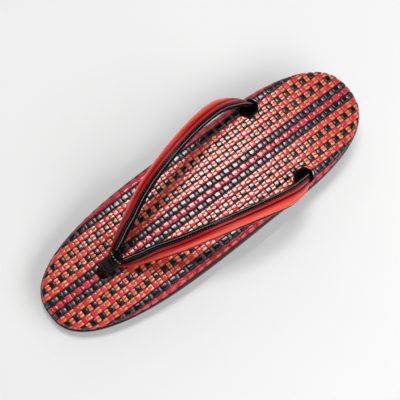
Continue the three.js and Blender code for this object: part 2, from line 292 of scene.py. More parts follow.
# The toe post from the end of its stem to the back of the knuckle: place, half width, half thickness.
POST_SECTIONS = [
    (77.2, 9.0, 3.8, 2.8),
    (77.2, 16.0, 4.1, 3.1),
    (77.0, 21.0, 4.4, 3.6),
    (75.8, 26.0, 4.4, 3.8),
    (73.0, 30.2, 4.6, 4.1),
    (69.6, 33.0, 4.9, 4.4),
    (66.6, 34.6, 5.0, 4.5),
    (64.4, 35.5, 4.8, 4.2),
]
POST_ROWS = 150
POST_SIDES = 96
PLEAT_COUNT = 11
PLEAT_DEPTH = 0.28
PLEAT_SHARPNESS = 3
PLEAT_STEM_SHARE = 0.35
PLEAT_FIRST_ROW = 3.2
PLEAT_GROWTH_ROWS = 2.0
PLEAT_SWAY = 0.55
PLEAT_SWAY_RATE = 1.1
# Tucks around the post: row of its table and depth.
TUCK_ROWS = [(3.55, 0.4), (4.15, 0.34), (5.3, 0.25)]
TUCK_HALF_WIDTH = 0.1
TUCK_BEND = 0.12
# Stitches across the top of the knuckle: row of the post's table, half angle, count, length, half
# width, height.
KNUCKLE_STITCHES = (6.2, 60.0, 6, 0.9, 0.3, 0.34)

# Tones of the strips and threads: dark, middle and light, and their places between 0 and 1.
TONE_PLACES = (0.0, 0.55, 1.0)
RED_TONES = ((0.57, 0.018, 0.025), (0.69, 0.028, 0.039), (0.78, 0.052, 0.07))
STRIPE_RED_TONES = ((0.5, 0.015, 0.03), (0.62, 0.024, 0.045), (0.7, 0.05, 0.085))
BLACK_TONES = ((0.003, 0.003, 0.004), (0.006, 0.006, 0.008), (0.014, 0.014, 0.018))
RED_FILL_TONES = ((0.32, 0.014, 0.024), (0.42, 0.026, 0.042), (0.5, 0.05, 0.075))
# The black fills are lightened to blue-grey, a painted sheen on the black strip.
BLACK_FILL_SHEEN_TONES = ((0.02, 0.0225, 0.03), (0.055, 0.061, 0.08), (0.11, 0.12, 0.15))
# The threads' greys are partly their own tone and partly a painted glint.
GREY_THREAD_AND_GLINT_TONES = ((0.1, 0.1, 0.105), (0.22, 0.22, 0.23), (0.36, 0.36, 0.37))
PALE_THREAD_AND_GLINT_TONES = ((0.3, 0.3, 0.3), (0.5, 0.5, 0.5), (0.7, 0.7, 0.7))
# How much the fine streaks change the tone of the strips and of the cover.
STRIP_STREAKS = 0.35
COVER_STREAKS = 0.5
# Least and greatest roughness of the strips and threads.
RED_ROUGHNESS = (0.12, 0.2)
BLACK_ROUGHNESS = (0.11, 0.19)
DULL_ROUGHNESS = (0.2, 0.3)
# Colours of the other materials: place between 0 and 1, colour. The orange runs from rim to middle.
# The orange's pale bands paint a highlight on each cord; its darker rims and middle paint shade at the rims
# and in the groove.
ORANGE_HALF_STOPS = [
    (0.0, (0.58, 0.08, 0.03)),
    (0.12, (0.7, 0.16, 0.062)),
    (0.22, (0.8, 0.34, 0.155)),
    (0.33, (0.68, 0.14, 0.052)),
    (0.45, (0.58, 0.075, 0.025)),
]
# The ground's colours are painted shade: near black in the holes, dark red-brown in the gaps of the weave.
GROUND_STOPS = [(0.0, (0.002, 0.001, 0.001)), (0.3, (0.03, 0.006, 0.004)), (0.7, (0.08, 0.015, 0.009))]
# The cover's red from a painted highlight on the lobe, through the plain red, to painted shade.
COVER_HIGHLIGHT_TO_SHADE_STOPS = [(0.2, (0.97, 0.12, 0.06)), (0.5, (0.56, 0.009, 0.008)), (1.0, (0.05, 0.001, 0.001))]
TWILL_STOPS = [(0.1, (0.0006, 0.0006, 0.0008)), (0.9, (0.0025, 0.0025, 0.003))]
VINYL_STOPS = [(0.35, (0.008, 0.008, 0.010)), (0.75, (0.028, 0.027, 0.030))]
RUBBER_STOPS = [(0.3, (0.012, 0.012, 0.013)), (0.75, (0.05, 0.05, 0.052))]
FLOOR_STOPS = [(0.3, (0.9, 0.9, 0.9)), (0.7, (0.93, 0.93, 0.926))]

# Camera: its place, what it looks at, and which way is up in the picture.
CAMERA_PLACE = (89.8, 78.7, 537.9)
CAMERA_TARGET = (2.0, 0.0, 24.0)
CAMERA_UP = (-0.575, -0.774, 0.267)
CAMERA_LENS = 74.8
SENSOR_WIDTH = 36.0
NEAR_CLIP = 10.0

# Floor: half its side, and its drop below the sole.
FLOOR_HALF_SIZE = 4000.0
FLOOR_DROP = 0.2

# Light of the surroundings by height over the horizon: bright low walls and a dark ceiling.
WORLD_STRENGTH = 1.0
WORLD_STOPS = [
    (0.0, (1.0, 1.0, 1.0)),
    (0.25, (0.86, 0.86, 0.86)),
    (0.5, (0.18, 0.18, 0.18)),
    (1.0, (0.04, 0.04, 0.04)),
]
# Soft panels: name, place and size in metres, turn in degrees, power in watts. Each faces the sandal.
PANELS = [
    ("overhead", (-0.045, -0.21, 1.1), (0.36, 0.22), -12.0, 5.1),
    ("near_side", (-0.3, 0.72, 0.85), (1.1, 0.6), 0.0, 7.5),
    ("far_side", (-0.4, -0.8, 0.8), (1.2, 0.8), 0.0, 1.2),
]


def lerp(start, end, share):
    return start + (end - start) * share


def smooth_step(share):
    share = np.clip(share, 0.0, 1.0)
    return share * share * (3.0 - 2.0 * share)


def top_line(x):
    """Height of the footbed's middle line over the ground."""
    along = np.clip(0.5 - x / LENGTH, 0.0, 1.0)
    return lerp(TOE_TOP, HEEL_TOP, lerp(along, smooth_step(along), RISE_CURVE))


def ground_line(x):
    """Height of the outsole's underside: raised at the toe, the arch and the end of the heel."""
    from_toe = LENGTH / 2 - x
    toe = np.maximum(0.0, 1.0 - from_toe / TOE_SPRING_LENGTH)
    arch = np.clip((from_toe - ARCH_FRONT) / ARCH_LENGTH, 0.0, 1.0)
    heel = np.maximum(0.0, 1.0 - (LENGTH - from_toe) / HEEL_ROLL_LENGTH)
    return TOE_SPRING * toe**2 + ARCH_RISE * np.sin(np.pi * arch) ** 2 + HEEL_ROLL * heel**2


def end_curve(start_x, reach, half_width, fullness):
    """One side of a rounded end of the outline, from its tip to its widest place."""
    angle = np.linspace(0.0, np.pi / 2, CURVE_SAMPLES)
    along = np.cos(angle).clip(0.0) ** (2 / fullness)
    across = np.sin(angle) ** (2 / fullness)
    return np.stack([start_x + reach * along, half_width * across], axis=1)


def half_outline():
    """The left half of the sole's outline from toe to heel, at even steps along it."""
    ball_x = LENGTH / 2 - TOE_CURVE_LENGTH
    seat_x = HEEL_CURVE_LENGTH - LENGTH / 2
    toe = end_curve(ball_x, TOE_CURVE_LENGTH, BALL_HALF_WIDTH, TOE_FULLNESS)
    share = np.linspace(0.0, 1.0, WAIST_SAMPLES)[1:-1]
    waist_half = lerp(BALL_HALF_WIDTH, HEEL_HALF_WIDTH, smooth_step(share))
    waist = np.stack([lerp(ball_x, seat_x, share), waist_half], axis=1)
    heel = end_curve(seat_x, -HEEL_CURVE_LENGTH, HEEL_HALF_WIDTH, HEEL_FULLNESS)[::-1]
    points = np.vstack([toe, waist, heel])
    steps = np.hypot(*np.diff(points, axis=0).T)
    travelled = np.concatenate([[0.0], np.cumsum(steps)])
    even = np.linspace(0.0, travelled[-1], HALF_RING + 1)
    return np.stack([np.interp(even, travelled, points[:, k]) for k in (0, 1)], axis=1)


def full_outline():
    """The whole outline as a ring, and its outward directions."""
    left = half_outline()
    right = left[-2:0:-1] * (1.0, -1.0)
    ring = np.vstack([left, right])
    along = np.roll(ring, -1, axis=0) - np.roll(ring, 1, axis=0)
    along /= np.linalg.norm(along, axis=1, keepdims=True)
    outward = np.stack([along[:, 1], -along[:, 0]], axis=1)
    return ring, outward


OUTLINE, OUTWARD = full_outline()


def inset_ring(inset):
    return OUTLINE - OUTWARD * inset


def curve_through(points, rows, power):
    """Points of a smooth curve through the given ones, spaced by their distances to a power."""
    points = np.asarray(points, dtype=float)
    rows = np.asarray(rows, dtype=float)
    ends = [2 * points[0] - points[1], 2 * points[-1] - points[-2]]
    reached = np.vstack([ends[0], points, ends[1]])
    before = np.clip(np.floor(rows).astype(int), 0, len(points) - 2)
    share = (rows - before)[:, None]
    a, b, c, d = (reached[before + k] for k in range(4))

    def gap(first, second):
        return np.sum((second - first) ** 2, axis=1, keepdims=True) ** power

    start, middle, end = gap(a, b), gap(b, c), gap(c, d)
    leave = ((b - a) / start - (c - a) / (start + middle) + (c - b) / middle) * middle
    reach = ((c - b) / middle - (d - b) / (middle + end) + (d - c) / end) * middle
    bend = 3 * (c - b) - 2 * leave - reach
    turn = 2 * (b - c) + leave + reach
    return b + leave * share + bend * share**2 + turn * share**3


def unit(vectors):
    return vectors / np.linalg.norm(vectors, axis=-1, keepdims=True)


def travelled_along(points):
    """Distance of each point from the first, along the line through them."""
    return np.concatenate([[0.0], np.cumsum(np.linalg.norm(np.diff(points, axis=0), axis=1))])


def grid_faces(index):
    """Four-cornered faces between the rows and columns of a grid of point numbers."""
    corners = [index[:-1, :-1], index[1:, :-1], index[1:, 1:], index[:-1, 1:]]
    return np.stack(corners, axis=-1).reshape(-1, 4)


def make_piece(name, points, faces, material, node, uvs=None, values=None):
    """A smooth mesh piece from arrays in millimetres, riding on the sandal and standing for a solid."""
    mesh = bpy.data.meshes.new(name)
    mesh.from_pydata((np.asarray(points) * MM).tolist(), [], [list(face) for face in faces])
    mesh.polygons.foreach_set("use_smooth", np.ones(len(mesh.polygons), dtype=bool))
    if uvs is not None:
        layer = mesh.uv_layers.new(name="surface")
        layer.data.foreach_set("uv", np.asarray(uvs, dtype=np.float32).ravel())
    for key, numbers in (values or {}).items():
        attribute = mesh.attributes.new(key, "FLOAT", "POINT")
        attribute.data.foreach_set("value", np.asarray(numbers, dtype=np.float32).ravel())
    mesh.materials.append(material)
    mesh.update()
    piece = bpy.data.objects.new(name, mesh)
    bpy.context.scene.collection.objects.link(piece)
    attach(piece, "root")
    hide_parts(node)
    return piece


def ring_wall(row_count, size, along, around):
    """Faces and surface coordinates of the wall between closed rings of points."""
    k, i = np.meshgrid(np.arange(row_count - 1), np.arange(size), indexing="ij")
    k, i = k.ravel(), i.ravel()
    after = (i + 1) % size
    faces = np.stack([k * size + i, k * size + after, (k + 1) * size + after, (k + 1) * size + i], axis=1)
    u = np.stack([around[i], around[i + 1], around[i + 1], around[i]], axis=1)
    v = np.stack([along[k], along[k], along[k + 1], along[k + 1]], axis=1)
    return faces, np.stack([u, v], axis=2).reshape(-1, 2)


def fan(ring, centre, flip):
    """Triangles from a ring of points to the point at its centre."""
    following = np.roll(ring, -1)
    corners = [ring, following] if not flip else [following, ring]
    return np.stack([*corners, np.full(len(ring), centre)], axis=1)


def closed_loft(rings, along, around):
    """Points, faces and coordinates of a tube with its two ends closed."""
    rows, size = rings.shape[:2]
    faces, uvs = ring_wall(rows, size, along, around)
    points = np.vstack([rings.reshape(-1, 3), rings[0].mean(axis=0), rings[-1].mean(axis=0)])
    first = np.arange(size)
    last = first + (rows - 1) * size
    caps = [fan(first, rows * size, True), fan(last, rows * size + 1, False)]
    cap_uvs = np.zeros((3 * 2 * size, 2))
    return points, [*faces.tolist(), *caps[0].tolist(), *caps[1].tolist()], np.vstack([uvs, cap_uvs])


def mirrored(points, faces, uvs):
    """Adds the same shape on the other side of the middle plane."""
    count = len(points)
    other = [[corner + count for corner in reversed(face)] for face in faces]
    sizes = [len(face) for face in faces]
    starts = np.concatenate([[0], np.cumsum(sizes)])
    turned = np.concatenate([np.arange(starts[k + 1] - 1, starts[k] - 1, -1) for k in range(len(faces))])
    both = np.vstack([points, points * (1.0, -1.0, 1.0)])
    return both, [*faces, *other], np.vstack([uvs, uvs[turned]])


def add_node(tree, kind, inputs=None, **settings):
    node = tree.nodes.new(kind)
    for key, value in settings.items():
        setattr(node, key, value)
    for key, value in (inputs or {}).items():
        node.inputs[key].default_value = value
    return node


def new_material(name, **sockets):
    material = bpy.data.materials.new(name)
    material.use_nodes = True
    shader = material.node_tree.nodes["Principled BSDF"]
    for key, value in sockets.items():
        shader.inputs[key.replace("_", " ")].default_value = value
    return material, material.node_tree, shader


def color_ramp(tree, stops):
    ramp = add_node(tree, "ShaderNodeValToRGB")
    elements = ramp.color_ramp.elements
    while len(elements) < len(stops):
        elements.new(0.5)
    for element, (place, color) in zip(elements, stops):
        element.position = place
        element.color = (*color, 1.0)
    return ramp


def link(tree, source, target):
    tree.links.new(source, target)


def paint(tree, shader, source, stops):
    """Colours the surface by a value between 0 and 1."""
    ramp = color_ramp(tree, stops)
    link(tree, source, ramp.inputs["Fac"])
    link(tree, ramp.outputs["Color"], shader.inputs["Base Color"])


def stretched_noise(tree, scale, stretch, detail=2.0):
    """Noise drawn out along the strip, from the surface coordinates."""
    place = add_node(tree, "ShaderNodeUVMap", uv_map="surface")
    mapping = add_node(tree, "ShaderNodeMapping", {"Scale": (stretch[0], stretch[1], 1.0)})
    noise = add_node(tree, "ShaderNodeTexNoise", {"Scale": scale, "Detail": detail})
    link(tree, place.outputs["UV"], mapping.inputs["Vector"])
    link(tree, mapping.outputs["Vector"], noise.inputs["Vector"])
    return noise


def grain(tree, scale, detail=3.0):
    """Even grain in the object's own space."""
    place = add_node(tree, "ShaderNodeTexCoord")
    noise = add_node(tree, "ShaderNodeTexNoise", {"Scale": scale, "Detail": detail})
    link(tree, place.outputs["Object"], noise.inputs["Vector"])
    return noise


def bump(tree, shader, height, strength, distance):
    node = add_node(tree, "ShaderNodeBump", {"Strength": strength, "Distance": distance * MM})
    link(tree, height, node.inputs["Height"])
    link(tree, node.outputs["Normal"], shader.inputs["Normal"])


def roughness_range(tree, shader, source, low, high):
    spread = add_node(tree, "ShaderNodeMapRange", {"To Min": low, "To Max": high})
    link(tree, source, spread.inputs["Value"])
    link(tree, spread.outputs["Result"], shader.inputs["Roughness"])


def strip_material(name, tones, roughness):
    """Drawn vinyl strip: each cell has its own tone, with fine streaks along it."""
    material, tree, shader = new_material(name, Specular_IOR_Level=0.55)
    tone = add_node(tree, "ShaderNodeAttribute", attribute_name="tone")
    streak = stretched_noise(tree, scale=9.0, stretch=(1.0, 0.12))
    mix = add_node(tree, "ShaderNodeMath", {1: STRIP_STREAKS}, operation="MULTIPLY_ADD")
    link(tree, streak.outputs["Fac"], mix.inputs[0])
    link(tree, tone.outputs["Fac"], mix.inputs[2])
    paint(tree, shader, mix.outputs["Value"], list(zip(TONE_PLACES, tones)))
    roughness_range(tree, shader, streak.outputs["Fac"], *roughness)
    bump(tree, shader, streak.outputs["Fac"], strength=0.12, distance=0.08)
    return material


def orange_material():
    """Orange strip with a pale line on each cord as painted highlight and a darker middle as painted shade
    in the groove, each along the sandal.
    """
    material, tree, shader = new_material("orange_strip", Specular_IOR_Level=0.75)
    place = add_node(tree, "ShaderNodeUVMap", uv_map="surface")
    axes = add_node(tree, "ShaderNodeSeparateXYZ")
    streak = stretched_noise(tree, scale=7.0, stretch=(1.0, 0.15))
    link(tree, place.outputs["UV"], axes.inputs["Vector"])
    mirrored_stops = [(1.0 - along, color) for along, color in reversed(ORANGE_HALF_STOPS)]
    paint(tree, shader, axes.outputs["X"], [*ORANGE_HALF_STOPS, *mirrored_stops])
    roughness_range(tree, shader, streak.outputs["Fac"], low=0.15, high=0.24)
    bump(tree, shader, streak.outputs["Fac"], strength=0.1, distance=0.08)
    return material


def ground_material():
    """Dull sheet with a fine mottle, dark as painted shade in the weave's gaps: red-brown under the weave,
    nearly black in and about the holes.
    """
    material, tree, shader = new_material("weave_ground", Roughness=0.7, Specular_IOR_Level=0.2)
    noise = grain(tree, scale=900.0)
    # Near the holes and the post this value paints the ground black as shade.
    outside_hole_shade = add_node(tree, "ShaderNodeAttribute", attribute_name="outside_hole_shade")
    mix = add_node(tree, "ShaderNodeMath", operation="MULTIPLY")
    link(tree, noise.outputs["Fac"], mix.inputs[0])
    link(tree, outside_hole_shade.outputs["Fac"], mix.inputs[1])
    paint(tree, shader, mix.outputs["Value"], GROUND_STOPS)
    bump(tree, shader, noise.outputs["Fac"], strength=0.4, distance=0.15)
    return material


def red_cover_material():
    """Soft red vinyl with a satin shine and fine grain; its colour paints a highlight on the lobe and shade
    in the creases, along the edges and underneath.
    """
    material, tree, shader = new_material("red_cover", Specular_IOR_Level=0.25)
    # The fold attribute holds the red's painted light and shade, creases included.
    fold = add_node(tree, "ShaderNodeAttribute", attribute_name="fold")
    streak = stretched_noise(tree, scale=2.2, stretch=(6.0, 0.25), detail=3.0)
    tone = add_node(tree, "ShaderNodeMath", {1: COVER_STREAKS}, operation="MULTIPLY_ADD")
    link(tree, streak.outputs["Fac"], tone.inputs[0])
    link(tree, fold.outputs["Fac"], tone.inputs[2])
    paint(tree, shader, tone.outputs["Value"], COVER_HIGHLIGHT_TO_SHADE_STOPS)
    fine = grain(tree, scale=2600.0)
    roughness_range(tree, shader, streak.outputs["Fac"], low=0.26, high=0.4)
    bump(tree, shader, fine.outputs["Fac"], strength=0.18, distance=0.06)
    return material


def twill_material(name, gloss, low, high, rib_strength):
    """Black lining with a fine slanting rib."""
    material, tree, shader = new_material(name, Specular_IOR_Level=gloss)
    place = add_node(tree, "ShaderNodeUVMap", uv_map="surface")
    mapping = add_node(tree, "ShaderNodeMapping", {"Scale": (14.0, 1.0, 1.0), "Rotation": (0.0, 0.0, 0.6)})
    rib = add_node(tree, "ShaderNodeTexWave", {"Scale": 0.55, "Distortion": 1.2, "Detail": 1.0})
    link(tree, place.outputs["UV"], mapping.inputs["Vector"])
    link(tree, mapping.outputs["Vector"], rib.inputs["Vector"])
    paint(tree, shader, rib.outputs["Fac"], TWILL_STOPS)
    wear = grain(tree, scale=160.0)
    roughness_range(tree, shader, wear.outputs["Fac"], low, high)
    bump(tree, shader, rib.outputs["Fac"], rib_strength, distance=0.08)
    return material


def vinyl_material():
    """Black vinyl of the sole's side: fine pebbled grain and dull scuffs."""
    material, tree, shader = new_material("side_vinyl", Specular_IOR_Level=0.5)
    place = add_node(tree, "ShaderNodeTexCoord")
    pebble = add_node(tree, "ShaderNodeTexVoronoi", {"Scale": 1300.0}, feature="SMOOTH_F1")
    scuff = grain(tree, scale=55.0, detail=6.0)
    link(tree, place.outputs["Object"], pebble.inputs["Vector"])
    paint(tree, shader, scuff.outputs["Fac"], VINYL_STOPS)
    roughness_range(tree, shader, scuff.outputs["Fac"], low=0.24, high=0.5)
    bump(tree, shader, pebble.outputs["Distance"], strength=0.22, distance=0.1)
    return material


def rubber_material():
    """Dull black rubber with a fine speckle."""
    material, tree, shader = new_material("sole_rubber", Specular_IOR_Level=0.4)
    speckle = grain(tree, scale=1500.0, detail=4.0)
    paint(tree, shader, speckle.outputs["Fac"], RUBBER_STOPS)
    roughness_range(tree, shader, speckle.outputs["Fac"], low=0.6, high=0.85)
    bump(tree, shader, speckle.outputs["Fac"], strength=0.3, distance=0.12)
    return material


def floor_material():
    material, tree, shader = new_material("pale_floor", Roughness=0.6, Specular_IOR_Level=0.2)
    noise = grain(tree, scale=6.0)
    paint(tree, shader, noise.outputs["Fac"], FLOOR_STOPS)
    return material


def cap_rows(ring_points, columns):
    """Points across the sole between the two halves of a ring, row by row from toe to heel."""
    left = ring_points[1:HALF_RING]
    right = ring_points[: HALF_RING : -1]
    share = np.linspace(0.0, 1.0, columns + 1)[None, :, None]
    return lerp(left[:, None, :], right[:, None, :], share)


def sole_layer(levels, bottom_columns, bottom_relief):
    """A closed layer of the sole from rings of the outline, each with an inset and a height function."""
    size = 2 * HALF_RING
    rings = []
    for inset, height in levels:
        flat = inset_ring(inset)
        rings.append(np.column_stack([flat, height(flat[:, 0])]))
    rings = np.stack(rings)
    around = np.linspace(0.0, 1.0, size + 1)
    along = np.linspace(0.0, 1.0, len(levels))
    wall, uvs = ring_wall(len(levels), size, along, around)
    points = [rings.reshape(-1, 3)]
    faces = wall.tolist()
    used = len(points[0])
    for ring_index, columns, relief, up in (
        (0, bottom_columns, bottom_relief, False),
        (len(levels) - 1, PLAIN_COLUMNS, None, True),
    ):
        rows = cap_rows(rings[ring_index], columns)
        inner = rows[:, 1:-1].copy()
        if relief is not None:
            inner[..., 2] += relief(inner[..., 0], inner[..., 1])
        points.append(inner.reshape(-1, 3))
        base = ring_index * size
        row_count = rows.shape[0]
        index = np.empty((row_count, columns + 1), dtype=int)
        index[:, 0] = base + np.arange(1, HALF_RING)
        index[:, -1] = base + np.arange(size - 1, HALF_RING, -1)
        index[:, 1:-1] = used + np.arange(inner[..., 0].size).reshape(row_count, columns - 1)
        used += inner[..., 0].size
        tips = [[base, index[0, j], index[0, j + 1]] for j in range(columns)]
        tips += [[base + HALF_RING, index[-1, j + 1], index[-1, j]] for j in range(columns)]
        cap_faces = grid_faces(index).tolist() + tips
        if not up:
            cap_faces = [face[::-1] for face in cap_faces]
        faces += cap_faces
        corner_count = sum(len(face) for face in cap_faces)
        uvs = np.vstack([uvs, np.zeros((corner_count, 2))])
    return np.vstack(points), faces, uvs


def tread(x, y):
    """Depth of the slanting grooves under the sole, fading out before the edge."""
    edge, _ = nearest_edge(x, y)
    phase = (x + TREAD_SLANT * np.abs(y)) / TREAD_PITCH
    groove = smooth_step(TREAD_STEEPNESS * np.abs(phase - np.round(phase)) - TREAD_LAND)
    return TREAD_DEPTH * groove * smooth_step((edge - TREAD_MARGIN) / TREAD_FADE)


EDGE = inset_ring(RIM_WIDTH + EDGE_STEP)


def nearest_edge(x, y):
    """Distance inside the footbed's edge, and the index of the edge's nearest point."""
    flat = np.stack([np.ravel(x), np.ravel(y)], axis=1)
    distance = np.empty(len(flat))
    nearest = np.empty(len(flat), dtype=int)
    for start in range(0, len(flat), EDGE_BATCH):
        batch = slice(start, start + EDGE_BATCH)
        part = flat[batch]
        away = part[:, None, :] - EDGE[None, :, :]
        found = np.argmin(np.sum(away**2, axis=2), axis=1)
        nearest[batch] = found
        distance[batch] = -np.sum((part - EDGE[found]) * OUTWARD[found], axis=1)
    return distance.reshape(np.shape(x)), nearest.reshape(np.shape(x))


def push_aside(x, y):
    """Opens the holes by pushing what lies near each one outward."""
    for middle_x, middle_y, half_length, half_width in HOLES:
        off_x = x - middle_x
        off_y = y - middle_y
        far = np.maximum(np.hypot(off_x / half_length, off_y / half_width), HOLE_CENTRE)
        pushed = 1.0 + far * (HOLE_REACH - 1.0) / HOLE_REACH
        factor = np.where(far < HOLE_REACH, pushed / far, 1.0)
        x = middle_x + off_x * factor
        y = middle_y + off_y * factor
    return x, y


def hole_distance(points, hole):
    """Distance from a hole's middle, counted in the hole's own half sizes."""
    middle_x, middle_y, half_length, half_width = hole
    return np.hypot((points[..., 0] - middle_x) / half_length, (points[..., 1] - middle_y) / half_width)


def over_tail_hole(centres):
    """Whether the middle of a cell lies over one of the holes for the tails."""
    return np.any([hole_distance(centres, hole) < HOLE_CUT for hole in HOLES], axis=0)


def hole_shade_falloff(points):
    """From 0 about the holes and the post, where the ground is painted black as shade, to 1 away from them.
    """
    about = [smooth_step((hole_distance(points, hole) - HOLE_REACH) / HOLE_FADE) for hole in HOLES]
    about.append(smooth_step((hole_distance(points, POST_CLEARING) - 1.0) / HOLE_FADE))
    return np.min(about, axis=0)


def bed_surface(x, y, lift):
    """Points of the footbed over flat places, rolled over its edge and raised by a lift, and their drop."""
    x, y = push_aside(x, y)
    inside, nearest = nearest_edge(x, y)
    bend = np.clip((SHOULDER - inside) / SHOULDER, 0.0, None)
    angle = np.minimum(bend, np.pi / 2)
    drop = SHOULDER * (1.0 - np.cos(angle)) + (bend - angle) * SHOULDER
    out = OUTWARD[nearest]
    rolled = EDGE[nearest] - out * (SHOULDER * (1.0 - np.sin(angle)))[..., None]
    flat = np.where((bend > 0.0)[..., None], rolled, np.stack([x, y], axis=-1))
    shown = np.minimum(drop, EDGE_DROP)
    lift = lift * smooth_step((EDGE_DROP - drop) / EDGE_FADE)
    points = np.empty((*np.shape(x), 3))
    points[..., :2] = flat + out * (np.sin(angle) * lift)[..., None]
    points[..., 2] = top_line(flat[..., 0]) - shown + np.cos(angle) * lift
    return points, drop


def patch_grid(along, across):
    return np.meshgrid(np.asarray(along), np.asarray(across), indexing="ij")


def cells_mesh(centres, length, width, lift, along, across, rng):
    """One mesh of many cells, each a small patch of the weave with its own tone."""
    centres = np.asarray(centres)
    centres = centres[~over_tail_hole(centres)]
    count = len(centres)
    shape = (count, *along.shape)
    taper = 1.0 - CELL_TAPER * np.abs(along) ** CELL_TAPER_POWER
    size = 1.0 + rng.uniform(-CELL_SIZE_SPREAD, CELL_SIZE_SPREAD, (count, 1, 1))
    slide = rng.uniform(-CELL_SLIDE, CELL_SLIDE, (count, 1, 1))
    x, y, stretch, widening = centres.T[:, :, None, None]
    x = x + along * length / 2 * size * stretch + slide
    y = y + across * taper * width / 2 * size * widening
    tilt = rng.uniform(-CELL_TILT, CELL_TILT, (count, 2, 1, 1))
    height = lift + tilt[:, 0] * along + tilt[:, 1] * across
    points, drop = bed_surface(x, y, height)
    faces = grid_faces(np.arange(along.size).reshape(along.shape))
    kept = np.min(drop.reshape(count, -1), axis=1) < EDGE_DROP
    offset = np.arange(count)[:, None, None] * along.size
    faces = (faces[None] + offset)[kept].reshape(-1, 4)
    inside = np.min(drop.reshape(-1)[faces], axis=1) < EDGE_DROP
    # Cells about the post are left out, so the ground's painted shade shows there.
    cut = np.all(hole_distance(points.reshape(-1, 3)[faces], POST_CLEARING) < 1.0, axis=1)
    faces = faces[inside & ~cut]
    tone = np.broadcast_to(rng.uniform(0.0, CELL_TONE_SPREAD, (count, 1, 1)), shape)
    place = np.stack([(across + 1) / 2, (along + 1) / 2], axis=-1)
    place = np.broadcast_to(place, (*shape, 2)).reshape(-1, 2)
    corners = faces.ravel()
    uvs = place[corners]
    uvs[:, 1] += corners // along.size * CELL_COORDINATE_STEP
    used, faces = np.unique(faces, return_inverse=True)
    return points.reshape(-1, 3)[used], faces.reshape(-1, 4), uvs, tone.reshape(-1)[used]


def pick_places(is_black):
    """Places along the sandal where a black or a red strip passes over."""
    count = int(LENGTH / PICK_PERIOD) + 1
    start = FIRST_BLACK_PICK if is_black else FIRST_BLACK_PICK + PICK_PERIOD / 2
    return LENGTH / 2 - start - PICK_PERIOD * np.arange(-SPARE_PICKS, count + SPARE_PICKS)


def weave_cells():
    """Centres, stretch along and widening of the raised cells and of the cells between, by colour."""
    kinds = ("red", "black", "stripe_red", "stripe_black", "red_fill", "black_fill", "orange")
    cells = {kind: [] for kind in kinds}
    middle = (len(COLUMN_CHART) - 1) / 2
    for column, letter in enumerate(COLUMN_CHART):
        y = (column - middle) * COLUMN_PITCH
        is_black = letter in "Bb"
        color = "black" if is_black else "red"
        own = "stripe_" + color if letter.isupper() else color
        fill = color + "_fill" if letter.isupper() else "orange"
        at_side = min(column, len(COLUMN_CHART) - 1 - column) < SIDE_COLUMNS
        bead_stretch = SIDE_BEAD_STRETCH if at_side else 1.0
        fill_widening = SIDE_FILL_WIDENING if at_side else 1.0
        for x in pick_places(is_black):
            cells[own].append((x, y, bead_stretch, 1.0))
        for x in pick_places(not is_black):
            cells[fill].append((x, y, 1.0, fill_widening))
    return cells


def rim(place):
    """Falls from 1 to 0 toward the rim of a cell."""
    return 1.0 - smooth_step((np.abs(place) - BEAD_EDGE) / (1.0 - BEAD_EDGE))


def bead_lift(along, across):
    """A flat strip that rises from under its neighbour, passes over and dives again."""
    top = 1.0 - BEAD_FALL_ALONG * along**2 - BEAD_FALL_ACROSS * across**2
    return BEAD_RISE * top * rim(along) * rim(across) - BEAD_SINK


def stripe_fill_lift(along, across):
    """A low, rounded bridge between two raised cells."""
    return STRIPE_FILL_RISE * rim(across) * (1.0 - STRIPE_FILL_FALL * along**2) - BEAD_SINK


def orange_lift(along, across):
    """Two flat cords side by side, with a groove between them."""
    groove = GROOVE_SHARE * np.exp(-((across / GROOVE_HALF_WIDTH) ** 2))
    return ORANGE_RISE * (1.0 - groove) * rim(across) - ORANGE_FALL * along**2 - BEAD_SINK


def build_footbed():
    rng = np.random.default_rng(SEED)
    cells = weave_cells()
    red = strip_material("red_strip", RED_TONES, RED_ROUGHNESS)
    stripe_red = strip_material("stripe_red_strip", STRIPE_RED_TONES, RED_ROUGHNESS)
    black = strip_material("black_strip", BLACK_TONES, BLACK_ROUGHNESS)
    red_fill = strip_material("flat_red_strip", RED_FILL_TONES, DULL_ROUGHNESS)
    black_fill = strip_material("flat_black_strip_sheen", BLACK_FILL_SHEEN_TONES, DULL_ROUGHNESS)
    bead = (bead_lift, patch_grid(CRISP, CRISP))
    fill = (stripe_fill_lift, patch_grid(SHORT, PLAIN))
    cords = (orange_lift, patch_grid(SHORT, CORDS))
    parts = [
        ("red", BEAD_LENGTH, BEAD_WIDTH, bead, red),
        ("stripe_red", STRIPE_LENGTH, BEAD_WIDTH, bead, stripe_red),
        ("stripe_black", STRIPE_LENGTH, BEAD_WIDTH, bead, black),
        ("black", BEAD_LENGTH, BEAD_WIDTH, bead, black),
        ("red_fill", STRIPE_FILL_LENGTH, STRIPE_FILL_WIDTH, fill, red_fill),
        ("black_fill", STRIPE_FILL_LENGTH, STRIPE_FILL_WIDTH, fill, black_fill),
        ("orange", ORANGE_LENGTH, ORANGE_WIDTH, cords, orange_material()),
    ]
    for kind, length, width, (lift, (along, across)), material in parts:
        mesh = cells_mesh(cells[kind], length, width, lift(along, across), along, across, rng)
        points, faces, uvs, tone = mesh
        name = "weave_" + kind
        make_piece(name, points, faces, material, "footbed", uvs, {"tone": tone})
    build_ground()
    build_hole_linings()


